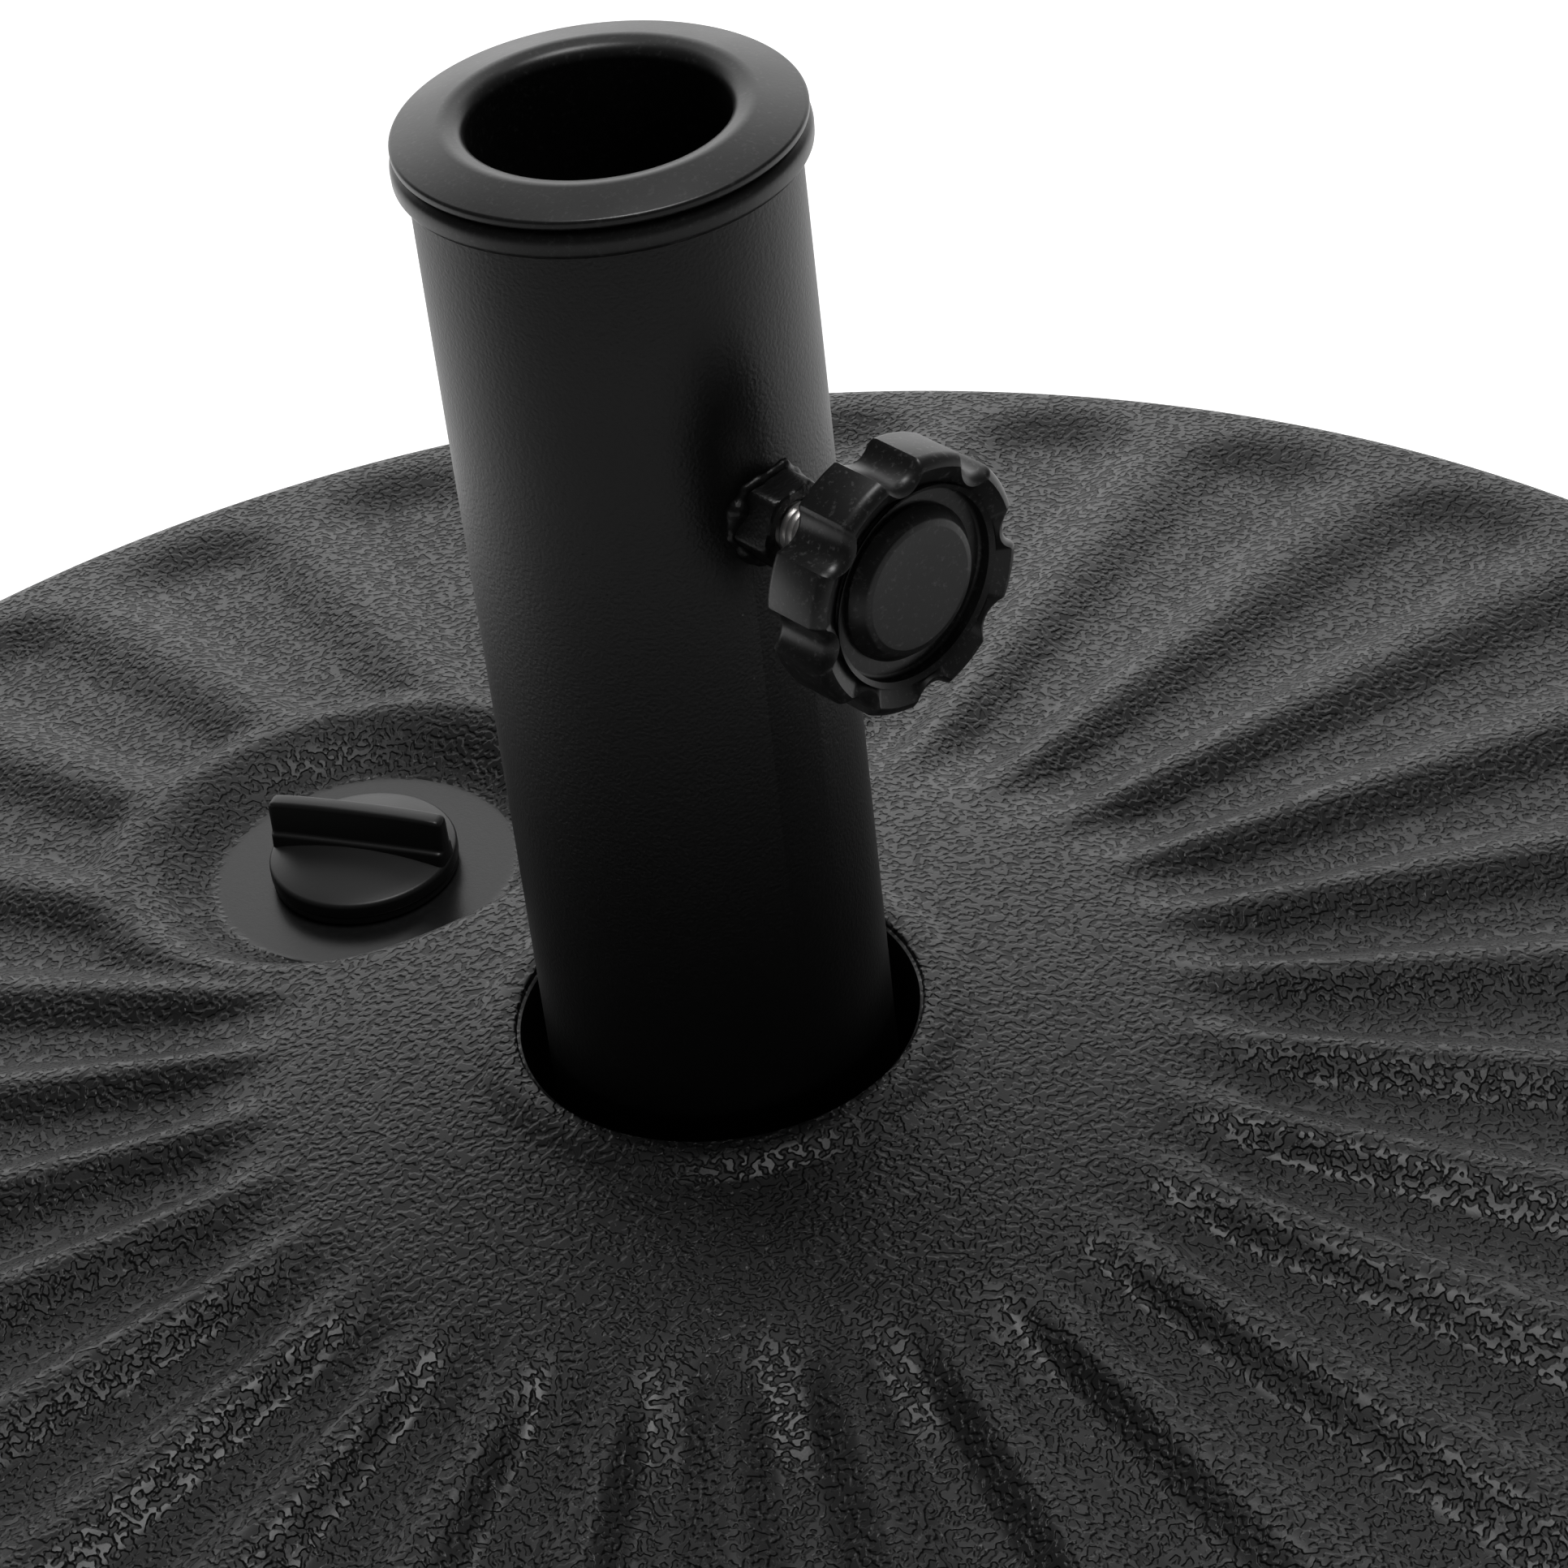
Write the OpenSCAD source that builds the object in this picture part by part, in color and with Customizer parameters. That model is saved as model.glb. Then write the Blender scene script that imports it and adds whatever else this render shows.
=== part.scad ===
// Round fillable parasol base: a moulded tank, a steel tube in its middle,
// a reducer for the pole, a clamp screw with a star knob and a filling plug.
// Origin: middle of the underside, on the ground. +Z up. Knob towards -Y, plug towards +Y.

/* [Tank] */
// Outer diameter of the tank
tank_d = 484; // [460:1:520]
// Height of the raised middle, around the tube
hub_h = 84; // [78:0.5:95]
// Height of the top at its outer edge
edge_h = 56; // [50:0.5:60]
// Wall thickness of the moulding
wall = 3.2; // [2.5:0.1:4]
// Number of radial flutes
flute_count = 30; // [24:1:32]
// Depth of a flute
flute_depth = 2.7; // [2:0.1:3]

/* [Filling hole] */
// Distance from the middle of the base to the middle of the filling hole
fill_y = 98; // [94:1:104]
// Radius of the smooth land at the bottom of the recess
land_r = 28; // [25:0.5:30]
// Height of the land above the ground
land_z = 64; // [60:0.5:65]
// Radius of the plug's cap
plug_r = 17; // [16:0.25:20]
// Angle of the plug's fin, measured from +X
fin_angle = 119; // [0:0.1:180]

/* [Tube] */
// Outer diameter of the support tube
tube_d = 57; // [54:0.5:60]
// Wall thickness of the support tube
tube_wall = 1.5; // [1.2:0.1:2]
// Height of the tube's top end above the ground
tube_top = 243.3; // [230:0.1:260]
// Bore of the reducer, for a 38 mm pole
pole_bore_d = 38.5; // [32:0.25:40]

/* [Clamp] */
// Height of the clamp screw's axis
clamp_z = 191.5; // [180:0.5:192]
// Diameter of the clamp screw
screw_d = 8; // [8:1:10]
// Outer diameter of the knob
knob_d = 40; // [36:1:48]
// Distance from the tube's axis to the knob's front face
knob_front = 59.5; // [58:0.5:62]
// Thickness of the knob
knob_t = 11; // [11:0.5:13]

/* [Hidden] */
$fn = 120;

// colours
c_tank = [0.10, 0.10, 0.11];
c_paint = [0.06, 0.06, 0.065];
c_knob = [0.13, 0.13, 0.14];
c_zinc = [0.75, 0.75, 0.72];
c_steel = [0.55, 0.56, 0.58];
c_rubber = [0.03, 0.03, 0.03];
c_nylon = [0.9, 0.9, 0.86];

// tank
tank_r = tank_d / 2;
well_r = 32.9;          // hole around the tube
lip_r = 38.5;           // flat ring around the hole
slope_r = 76;           // where the steep middle meets the shallow outer cone
slope_z = hub_h - 7.5;
edge_r = tank_r - 5;    // start of the rounded outer edge
edge_round = 6;         // radius of that edge
side_draft = 0.6;       // how far the side leans in towards its foot
side_low_z = 6;
side_mid_z = 30;        // height where the tank is widest
lip_fall = 2.5;         // width and height of the soft shoulder outside the flat ring
lip_drop = 1.2;
lip_soft = 0.2;
foot_r = tank_r - 6;    // outer radius of the ring that stands on the ground
ring_in_r = tank_r - 38;
arch_z = 4;             // height of the underside inside that ring
well_floor_z = 20;      // the tube stands here
bolt_room_z = 16;       // roof of the pocket around the bolt's head
bolt_room_r = 26;
drain_count = 8;        // channels that let water out from under the tank
drain_w = 18;
drain_h = 2;
cone_slope = (slope_z - edge_h) / (edge_r - slope_r);

// flutes, each a spindle whose underside runs parallel to the tank's top
flute_in = 76;
flute_out = 222;
flute_half_angle = 3.6;
flute_nose = 22;        // length of a spindle's outer end
nose_steps = 3;
flute_len = (flute_out - flute_in) / cos(atan(cone_slope));

// filling hole and plug
recess_r = 42;
recess_h = 9;
neck_bore_r = 14.6;
neck_r = 18;
neck_bottom_z = 50;
seal_t = 1.3;
seal_gap = 0.2;
cap_z = land_z + seal_t + 2 * seal_gap;
cap_top_z = land_z + 4.6;
cap_dome = 2.2;          // rise of the cap's middle above its edge
stem_r = 14;
stem_hollow_r = 11.5;
stem_bottom_z = neck_bottom_z + 0.5;
fin_t = 3.3;
fin_top_z = land_z + 14;
cap_soft = 0.8;         // softened edge of the cap

// tube and its fixing
tube_r = tube_d / 2;
tube_in_r = tube_r - tube_wall;
screw_r = screw_d / 2;
fit = 0.05;             // running clearance between a screw and its nut
foot_plate_t = 4;
foot_nut_h = 10;
foot_nut_af = 19;
foot_bolt_r = 6;
foot_hole_r = 6.5;
fixing_washer_t = 2.8;
fixing_washer_r = 20;
spring_washer_t = 2.2;
spring_washer_r = 10.5;
spring_washer_cut = 1.2;
bolt_head_h = 7.5;
bolt_end_z = 38;

// collar and reducer
collar_r = 30.6;
collar_h = 4.2;
collar_top_z = tube_top + 2.1;
collar_soft = 1.5;      // rounded upper edge
collar_skirt_r = 25.2;
collar_skirt = 14;
flange_r = 30.2;
flange_z = collar_top_z + 0.4;
flange_edge_h = 1.4;
flange_soft = 0.5;
crest_r = 23.2;
crest_z = flange_z + 3.2;
bore_r = pole_bore_d / 2;
sleeve_r = 21.4;
sleeve_bottom_z = 200;
rib_r = 24.9;
rib_t = 1.8;
rib_count = 8;

// clamp
nut_h = 6.2;
nut_af = 13;
nut_turn = 5;            // how the nut happened to be welded on
weld_r = 8.4;
weld_h = 1.6;
tip_gap = 0.2;
screw_tip_y = 25;
tip_r = 3.1;
tip_t = 2.3;
spigot_r = 1.6;
spigot_l = 4;
head_af = 13;
head_h = 5.3;
head_in = 2.5;          // depth of the head's seat from the knob's back
knob_soft = 1.5;        // softened front edge of the knob
knob_back = knob_front - knob_t;
notch_count = 8;
notch_r = 4;
notch_depth = 2.3;
notch_turn = 2.5;
knob_recess_r = 15.3;
knob_recess = 3;
cap_base_r = 12;
cap_top_r = 10.2;

function across_corners(af) = af / cos(30);
// points of an arc, from angle a to angle b
function arc(x, y, r, a, b, steps = 5) =
    [for (i = [0 : steps]) let (t = a + (b - a) * i / steps) [x + r * cos(t), y + r * sin(t)]];
// height of the tank's smooth top at a radius
function top_z(r) = slope_z - (r - slope_r) * cone_slope;

// a hexagonal prism standing on z = 0, measured across its flats
module hex_prism(af, h) {
    cylinder(d = across_corners(af), h = h, $fn = 6);
}

// puts a shape that stands along +Z onto the clamp's axis, pointing out to the knob
module on_clamp_axis(distance) {
    translate([0, -distance, clamp_z]) rotate([90, 0, 0]) children();
}

// ---- tank ----
module tank_outline() {
    polygon(concat(
        [[0, 0], [foot_r, 0]],
        [[tank_r - side_draft, side_low_z], [tank_r, side_mid_z]],
        arc(tank_r - edge_round, edge_h - edge_round, edge_round, 0, 82),
        [[slope_r, slope_z], [lip_r + lip_fall, hub_h - lip_drop]],
        [[lip_r, hub_h - lip_soft], [lip_r - 1, hub_h], [0, hub_h]]));
}

// the hollow inside, between the outer skin, the floor and the wall of the well
module tank_hollow() {
    roof = wall + flute_depth;
    polygon([
        [well_r + wall, well_floor_z],
        [well_r + wall + 1.1, arch_z + wall],
        [ring_in_r - wall, arch_z + wall],
        [ring_in_r, wall],
        [foot_r - wall, wall],
        [tank_r - wall, side_mid_z],
        [tank_r - wall, edge_h - edge_round - 2],
        [edge_r - wall, edge_h - roof],
        [slope_r, slope_z - roof],
        [well_r + wall, hub_h - roof - 2]]);
}

module flute_cutter() {
    in_half = flute_in * tan(flute_half_angle);
    out_half = flute_out * tan(flute_half_angle);
    in_r = (in_half * in_half + flute_depth * flute_depth) / (2 * flute_depth);
    out_r = (out_half * out_half + flute_depth * flute_depth) / (2 * flute_depth);
    lift = atan((out_r - in_r) / flute_len);
    r1 = in_r * cos(lift);
    r2 = out_r * cos(lift);
    len = flute_len / cos(lift);
    translate([flute_in, 0, top_z(flute_in) + in_r - flute_depth])
        rotate([0, 90 + atan(cone_slope) - lift, 0])
            rotate_extrude()
                polygon(concat(
                    [for (i = [0 : nose_steps]) let (t = 90 * i / nose_steps)
                        [r1 * sin(t), -r1 * cos(t)]],
                    [for (i = [0 : nose_steps]) let (t = 90 * i / nose_steps)
                        [r2 * cos(t), len + flute_nose * sin(t)]]));
}

module fill_recess() {
    translate([0, fill_y, land_z])
        rotate_extrude()
            polygon([[0, 0], [land_r, 0], [recess_r, recess_h], [recess_r + 4, 30], [0, 30]]);
}

// material that stays around the recess and the filling neck
module fill_backing() {
    translate([0, fill_y, 0])
        rotate_extrude()
            polygon([[0, neck_bottom_z], [neck_r, neck_bottom_z], [neck_r, land_z - wall],
                     [land_r + 1, land_z - wall], [recess_r + 1, land_z + recess_h - wall],
                     [recess_r + 8, hub_h], [0, hub_h]]);
}

// the tank before its flutes are pressed in
module plain_tank() {
    difference() {
        rotate_extrude() tank_outline();
        difference() {
            rotate_extrude() tank_hollow();
            fill_backing();
        }
        fill_recess();
        translate([0, fill_y, neck_bottom_z - 1]) cylinder(r = neck_bore_r, h = 20);
        translate([0, 0, well_floor_z]) cylinder(r = well_r, h = hub_h);
        translate([0, 0, -1]) cylinder(r = bolt_room_r, h = bolt_room_z + 1);
        translate([0, 0, -1]) cylinder(r = ring_in_r - 2, h = arch_z + 1);
        translate([0, 0, bolt_room_z - 1]) cylinder(r = foot_hole_r, h = 10);
        for (i = [0 : drain_count - 1])
            rotate([0, 0, 360 / drain_count * (i + 0.5)])
                translate([ring_in_r - 10, -drain_w / 2, -1]) cube([60, drain_w, drain_h + 1]);
    }
}

module base_shell() {
    color(c_tank)
    difference() {
        plain_tank();
        for (i = [0 : flute_count - 1])
            rotate([0, 0, 360 / flute_count * (i + 0.5)]) flute_cutter();
    }
}

module fill_plug() {
    color(c_tank)
    translate([0, fill_y, 0])
        difference() {
            union() {
                rotate_extrude()
                    polygon([[0, cap_z], [plug_r, cap_z], [plug_r, cap_top_z - cap_soft],
                             [plug_r - cap_soft, cap_top_z], [3, cap_top_z + cap_dome],
                             [0, cap_top_z + cap_dome]]);
                translate([0, 0, stem_bottom_z]) cylinder(r = stem_r, h = cap_z - stem_bottom_z + 1);
                intersection() {
                    rotate([0, 0, fin_angle])
                        translate([-plug_r, -fin_t / 2, cap_z + 1])
                            cube([2 * plug_r, fin_t, fin_top_z - cap_z - 1]);
                    translate([0, 0, cap_z]) cylinder(r = plug_r - 0.3, h = 30);
                }
            }
            translate([0, 0, stem_bottom_z - 1]) cylinder(r = stem_hollow_r, h = cap_z - stem_bottom_z);
        }
}

module plug_seal() {
    color(c_rubber)
    translate([0, fill_y, land_z + seal_gap])
        difference() {
            cylinder(r = plug_r - 0.2, h = seal_t);
            translate([0, 0, -1]) cylinder(r = stem_r + 0.4, h = seal_t + 2);
        }
}

// ---- tube and its fixing ----
module support_tube() {
    color(c_paint)
    difference() {
        translate([0, 0, well_floor_z]) cylinder(r = tube_r, h = tube_top - well_floor_z);
        translate([0, 0, well_floor_z - 1]) cylinder(r = tube_in_r, h = tube_top);
        on_clamp_axis(tube_in_r - 3) cylinder(r = screw_r + 0.5, h = 8);
    }
}

module foot_plate() {
    color(c_steel)
    translate([0, 0, well_floor_z])
        difference() {
            cylinder(r = tube_in_r, h = foot_plate_t);
            translate([0, 0, -1]) cylinder(r = foot_hole_r, h = foot_plate_t + 2);
        }
}

module foot_nut() {
    color(c_steel)
    translate([0, 0, well_floor_z + foot_plate_t])
        difference() {
            hex_prism(foot_nut_af, foot_nut_h);
            translate([0, 0, -1]) cylinder(r = foot_bolt_r + fit, h = foot_nut_h + 2);
        }
}

module fixing_washer() {
    color(c_zinc)
    translate([0, 0, bolt_room_z - fixing_washer_t])
        difference() {
            cylinder(r = fixing_washer_r, h = fixing_washer_t);
            translate([0, 0, -1]) cylinder(r = foot_hole_r, h = fixing_washer_t + 2);
        }
}

module spring_washer() {
    color(c_zinc)
    translate([0, 0, bolt_room_z - fixing_washer_t - spring_washer_t])
        difference() {
            cylinder(r = spring_washer_r, h = spring_washer_t);
            translate([0, 0, -1]) cylinder(r = foot_bolt_r + 0.2, h = spring_washer_t + 2);
            translate([0, -spring_washer_cut / 2, -1])
                cube([spring_washer_r + 1, spring_washer_cut, spring_washer_t + 2]);
        }
}

module fixing_bolt() {
    head_top = bolt_room_z - fixing_washer_t - spring_washer_t;
    color(c_zinc) {
        translate([0, 0, head_top - bolt_head_h]) hex_prism(foot_nut_af, bolt_head_h);
        translate([0, 0, head_top - 1]) cylinder(r = foot_bolt_r, h = bolt_end_z - head_top + 1);
    }
}

// ---- top end ----
module tube_collar() {
    color(c_knob)
    rotate_extrude()
        polygon(concat(
            [[tube_r, collar_top_z - collar_h], [collar_r, collar_top_z - collar_h]],
            arc(collar_r - collar_soft, collar_top_z - collar_soft, collar_soft, 0, 90, 3),
            [[collar_skirt_r, collar_top_z], [collar_skirt_r, tube_top - collar_skirt],
             [tube_in_r, tube_top - collar_skirt], [tube_in_r, tube_top], [tube_r, tube_top]]));
}

module reducer_sleeve() {
    lead = crest_r - bore_r - 0.6;
    color(c_knob)
    difference() {
        union() {
            rotate_extrude()
                polygon(concat(
                    [[bore_r, sleeve_bottom_z], [sleeve_r, sleeve_bottom_z], [sleeve_r, flange_z],
                     [flange_r, flange_z], [flange_r, flange_z + flange_edge_h - flange_soft],
                     [flange_r - flange_soft, flange_z + flange_edge_h], [crest_r + 1.5, crest_z - 0.15],
                     [crest_r, crest_z]],
                    arc(bore_r + lead, crest_z - lead, lead, 90, 180, 4)));
            for (i = [0 : rib_count - 1])
                rotate([0, 0, 360 / rib_count * i])
                    translate([sleeve_r - 0.8, -rib_t / 2, sleeve_bottom_z + 2])
                        cube([rib_r - sleeve_r + 0.8, rib_t, flange_z - sleeve_bottom_z - 1.5]);
        }
        translate([0, 0, sleeve_bottom_z - 1]) cylinder(r = bore_r, h = crest_z - lead - sleeve_bottom_z + 1);
    }
}

// ---- clamp ----
module clamp_nut() {
    color(c_paint)
    difference() {
        union() {
            on_clamp_axis(tube_r - 2) rotate([0, 0, nut_turn]) hex_prism(nut_af, nut_h + 2);
            on_clamp_axis(tube_r - 2) cylinder(r1 = weld_r, r2 = nut_af / 2, h = weld_h + 2);
        }
        translate([0, 0, clamp_z - 20]) cylinder(r = tube_r, h = 40);
        on_clamp_axis(tube_in_r - 3) cylinder(r = screw_r + fit, h = nut_h + 10);
    }
}

module clamp_screw() {
    color(c_zinc)
    difference() {
        union() {
            on_clamp_axis(screw_tip_y) cylinder(r = screw_r, h = knob_back + 3 - screw_tip_y);
            on_clamp_axis(knob_back + head_in) hex_prism(head_af, head_h);
        }
        on_clamp_axis(screw_tip_y - 1) cylinder(r = spigot_r + fit, h = spigot_l + 2);
    }
}

module clamp_tip() {
    color(c_nylon) {
        on_clamp_axis(screw_tip_y - tip_gap - tip_t) cylinder(r = tip_r, h = tip_t);
        on_clamp_axis(screw_tip_y - tip_gap - 1) cylinder(r = spigot_r, h = spigot_l + 1);
    }
}

module clamp_knob() {
    color(c_knob)
    difference() {
        on_clamp_axis(knob_back) rotate_extrude()
            polygon([[0, 0], [knob_d / 2 - 1, 0], [knob_d / 2, 1], [knob_d / 2, knob_t - knob_soft],
                     [knob_d / 2 - knob_soft, knob_t], [0, knob_t]]);
        for (i = [0 : notch_count - 1])
            on_clamp_axis(knob_back - 1)
                rotate([0, 0, 360 / notch_count * i + notch_turn])
                    translate([knob_d / 2 - notch_depth + notch_r, 0, 0])
                        cylinder(r = notch_r, h = knob_t + 2);
        on_clamp_axis(knob_front - knob_recess) cylinder(r = knob_recess_r, h = knob_recess + 1);
        on_clamp_axis(knob_back + head_in) hex_prism(head_af, knob_t);
        on_clamp_axis(knob_back - 1) cylinder(r = screw_r, h = 6);
    }
}

module knob_cap() {
    color(c_knob)
    on_clamp_axis(knob_front - knob_recess) rotate_extrude()
        polygon([[0, 0], [cap_base_r, 0], [cap_base_r, 0.8], [cap_top_r, knob_recess - 0.4],
                 [cap_top_r - 0.6, knob_recess], [0, knob_recess]]);
}

base_shell();
fill_plug();
plug_seal();
support_tube();
foot_plate();
foot_nut();
fixing_bolt();
spring_washer();
fixing_washer();
tube_collar();
reducer_sleeve();
clamp_nut();
clamp_screw();
clamp_tip();
clamp_knob();
knob_cap();
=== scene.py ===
"""Looks of a round fillable parasol base: moulded tank, steel tube, reducer, clamp knob and filling plug."""

import bmesh
import bpy
import numpy as np
from mathutils import Matrix, Vector


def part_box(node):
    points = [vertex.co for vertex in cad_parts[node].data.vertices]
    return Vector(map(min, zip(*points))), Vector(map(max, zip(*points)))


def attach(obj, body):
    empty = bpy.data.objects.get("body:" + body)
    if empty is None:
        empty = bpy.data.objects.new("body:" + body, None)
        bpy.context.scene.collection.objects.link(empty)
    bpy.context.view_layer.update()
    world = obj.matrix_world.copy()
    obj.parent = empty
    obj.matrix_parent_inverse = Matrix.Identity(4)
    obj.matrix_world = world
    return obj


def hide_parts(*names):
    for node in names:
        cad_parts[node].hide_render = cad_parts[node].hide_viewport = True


MM = 0.001
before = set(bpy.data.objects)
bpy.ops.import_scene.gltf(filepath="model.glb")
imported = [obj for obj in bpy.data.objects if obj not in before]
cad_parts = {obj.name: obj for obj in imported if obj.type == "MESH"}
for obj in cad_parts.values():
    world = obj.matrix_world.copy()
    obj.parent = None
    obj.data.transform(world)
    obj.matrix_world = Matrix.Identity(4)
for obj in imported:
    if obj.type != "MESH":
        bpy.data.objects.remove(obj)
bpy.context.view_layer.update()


# ---------------------------------------------------------------- places, from the CAD frame, in millimetres
def span(node):
    """The lowest and highest corner of a CAD node, in millimetres."""
    low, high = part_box(node)
    return np.array(low) / MM, np.array(high) / MM


TANK_LOW, TANK_HIGH = span("base_shell")
TUBE_LOW, TUBE_HIGH = span("support_tube")
PLUG_LOW, PLUG_HIGH = span("fill_plug")
SEAL_LOW, SEAL_HIGH = span("plug_seal")
COLLAR_LOW, COLLAR_HIGH = span("tube_collar")
REDUCER_LOW, REDUCER_HIGH = span("reducer_sleeve")
KNOB_LOW, KNOB_HIGH = span("clamp_knob")
NUT_LOW, NUT_HIGH = span("clamp_nut")
SCREW_LOW, SCREW_HIGH = span("clamp_screw")
TIP_LOW, TIP_HIGH = span("clamp_tip")
CAP_LOW, CAP_HIGH = span("knob_cap")
BOLT_LOW, BOLT_HIGH = span("fixing_bolt")
WASHER_LOW, WASHER_HIGH = span("fixing_washer")
SPRING_LOW, SPRING_HIGH = span("spring_washer")
FOOT_LOW, FOOT_HIGH = span("foot_plate")
FOOT_NUT_LOW, FOOT_NUT_HIGH = span("foot_nut")

TANK_R = TANK_HIGH[0]
HUB_Z = TANK_HIGH[2]
TUBE_R = TUBE_HIGH[0]
TUBE_IN_R = FOOT_HIGH[0]
FILL_Y = (PLUG_LOW[1] + PLUG_HIGH[1]) / 2
PLUG_R = PLUG_HIGH[0]
LAND_Z = SEAL_LOW[2] - 0.2
CLAMP_Z = (TIP_LOW[2] + TIP_HIGH[2]) / 2
KNOB_R = 20.0
KNOB_NOTCH_TURN = 2.5
NUT_TURN = 5
FIN_ANGLE = np.radians(119)
POLE_R = 19.25

# the tank's own shape
WELL_R = 32.9
SLOPE_R = 76.0
SLOPE_Z = HUB_Z - 7.5
EDGE_R = TANK_R - 7
EDGE_Z = 56.2
FLUTES = 30
FLUTE_HALF_ANGLE = np.radians(3.6)
FLUTE_IN_R = 70.0
FLUTE_OUT_R = 224.0
FLUTE_DEPTH = 3.3
LAND_R = 27.0
RECESS_R = 44.0
NECK_R = 14.6
NECK_Z = 50.0


# ---------------------------------------------------------------- meshes
def mesh_piece(name, verts, faces, smooth_angle=35):
    """An object from points in millimetres, with outward normals, and edges sharper than the angle kept sharp."""
    mesh = bpy.data.meshes.new(name)
    mesh.from_pydata((np.asarray(verts, float) * MM).tolist(), [], faces)
    build = bmesh.new()
    build.from_mesh(mesh)
    bmesh.ops.remove_doubles(build, verts=build.verts, dist=1e-7)
    bmesh.ops.dissolve_degenerate(build, edges=build.edges, dist=1e-8)
    bmesh.ops.recalc_face_normals(build, faces=build.faces)
    build.to_mesh(mesh)
    build.free()
    mesh.shade_smooth()
    mesh.set_sharp_from_angle(angle=np.radians(smooth_angle))
    piece = bpy.data.objects.new(name, mesh)
    bpy.context.scene.collection.objects.link(piece)
    return piece


def ring_faces(rows, columns, first=0, closed=False):
    """Quads between successive rings of points; closed joins the last ring to the first."""
    faces = []
    for i in range(rows if closed else rows - 1):
        a = first + i * columns
        b = first + ((i + 1) % rows) * columns
        for j in range(columns):
            k = (j + 1) % columns
            faces.append((a + j, a + k, b + k, b + j))
    return faces


def lofted(rings, closed=False, caps=True):
    """Points and faces of a skin over rings of equal length, with flat ends unless it closes on itself."""
    rings = np.asarray(rings, float)
    rows, columns = rings.shape[:2]
    faces = ring_faces(rows, columns, closed=closed)
    if caps and not closed:
        faces.append(tuple(range(columns)))
        faces.append(tuple(range((rows - 1) * columns, rows * columns)))
    return rings.reshape(-1, 3), faces


def rounded(corners, steps=5):
    """A line of (x, y, radius) corners as points, each corner with a radius replaced by an arc."""
    points = []
    count = len(corners)
    for i, (x, y, radius) in enumerate(corners):
        here = np.array([x, y], float)
        if radius <= 0:
            points.append(here)
            continue
        before = np.array(corners[i - 1][:2], float) - here
        after = np.array(corners[(i + 1) % count][:2], float) - here
        u, v = before / np.linalg.norm(before), after / np.linalg.norm(after)
        half = np.arccos(np.clip(u @ v, -1, 1)) / 2
        reach = radius / np.tan(half)
        centre = here + (u + v) / np.linalg.norm(u + v) * radius / np.sin(half)
        start = here + u * reach - centre
        end = here + v * reach - centre
        turn = np.arctan2(start[0] * end[1] - start[1] * end[0], start @ end)
        for t in np.linspace(0, turn, steps + 1):
            c, s = np.cos(t), np.sin(t)
            points.append(centre + np.array([c * start[0] - s * start[1], s * start[0] + c * start[1]]))
    return np.array(points)


def turned(profile, segments=128):
    """Rings of a turned shape about +Z from (radius, height) points."""
    angle = np.arange(segments) * 2 * np.pi / segments
    profile = np.asarray(profile, float)
    r, z = profile[:, 0][:, None], profile[:, 1][:, None]
    flat = np.zeros_like(angle)
    return np.stack([r * np.cos(angle), r * np.sin(angle), z + flat], axis=-1)


def on_clamp_axis(points, distance):
    """Points that stand along +Z, laid onto the clamp's axis so that +Z points out to the knob."""
    p = np.asarray(points, float)
    return np.stack([p[..., 0], -p[..., 2] - distance, p[..., 1] + CLAMP_Z], axis=-1)


def moved(points, x=0.0, y=0.0, z=0.0):
    return np.asarray(points, float) + np.array([x, y, z])


def turned_piece(name, corners, segments=128, place=lambda points: points, closed=True, steps=5):
    """A turned solid from (radius, height, corner radius) corners. closed is for rings; a solid one starts and
    ends on the axis."""
    profile = rounded(corners, steps)
    rings = place(turned(profile, segments))
    return mesh_piece(name, *lofted(rings, closed=closed, caps=False))


def smooth_step(t):
    t = np.clip(t, 0, 1)
    return t * t * (3 - 2 * t)


def joined(parts):
    """One list of points and faces from several."""
    verts, faces = [], []
    for points, polygons in parts:
        first = sum(len(v) for v in verts)
        verts.append(np.asarray(points, float).reshape(-1, 3))
        faces += [tuple(first + i for i in polygon) for polygon in polygons]
    return np.concatenate(verts), faces


# ---------------------------------------------------------------- tank
def smooth_top(r):
    """Height of the tank's top at a radius, without flutes."""
    steep = SLOPE_Z + (SLOPE_R - r) * (HUB_Z - 2.0 - SLOPE_Z) / (SLOPE_R - 41.4)
    shallow = SLOPE_Z - (r - SLOPE_R) * (SLOPE_Z - EDGE_Z) / (EDGE_R - SLOPE_R)
    return shallow + (steep - shallow) * smooth_step((SLOPE_R + 6 - r) / 12)


def flute_depth(r, angle):
    """How deep the flutes are pressed in at a radius and angle."""
    pitch = 2 * np.pi / FLUTES
    off = np.abs((angle % pitch) - pitch / 2)
    side = r * (FLUTE_HALF_ANGLE - off)
    end = FLUTE_OUT_R - r
    corner = np.minimum(r * FLUTE_HALF_ANGLE, 12.0)
    inside = corner - np.hypot(np.maximum(corner - side, 0), np.maximum(corner - end, 0))
    inside = np.where((side > corner) & (end > corner), np.minimum(side, end), inside)
    wall = 0.9 + 0.068 * r
    return FLUTE_DEPTH * smooth_step(inside / wall + 0.5) * smooth_step((r - FLUTE_IN_R) / 28)


def tank_top(x, y):
    """Height of the tank's top, with flutes and the filling recess."""
    r, angle = np.hypot(x, y), np.arctan2(y, x)
    reach = np.hypot(x, y - FILL_Y)
    z = smooth_top(r) - flute_depth(r, angle) * smooth_step((reach - RECESS_R) / 9)
    return LAND_Z + (z - LAND_Z) * smooth_step((reach - LAND_R) / (RECESS_R - LAND_R))


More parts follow.
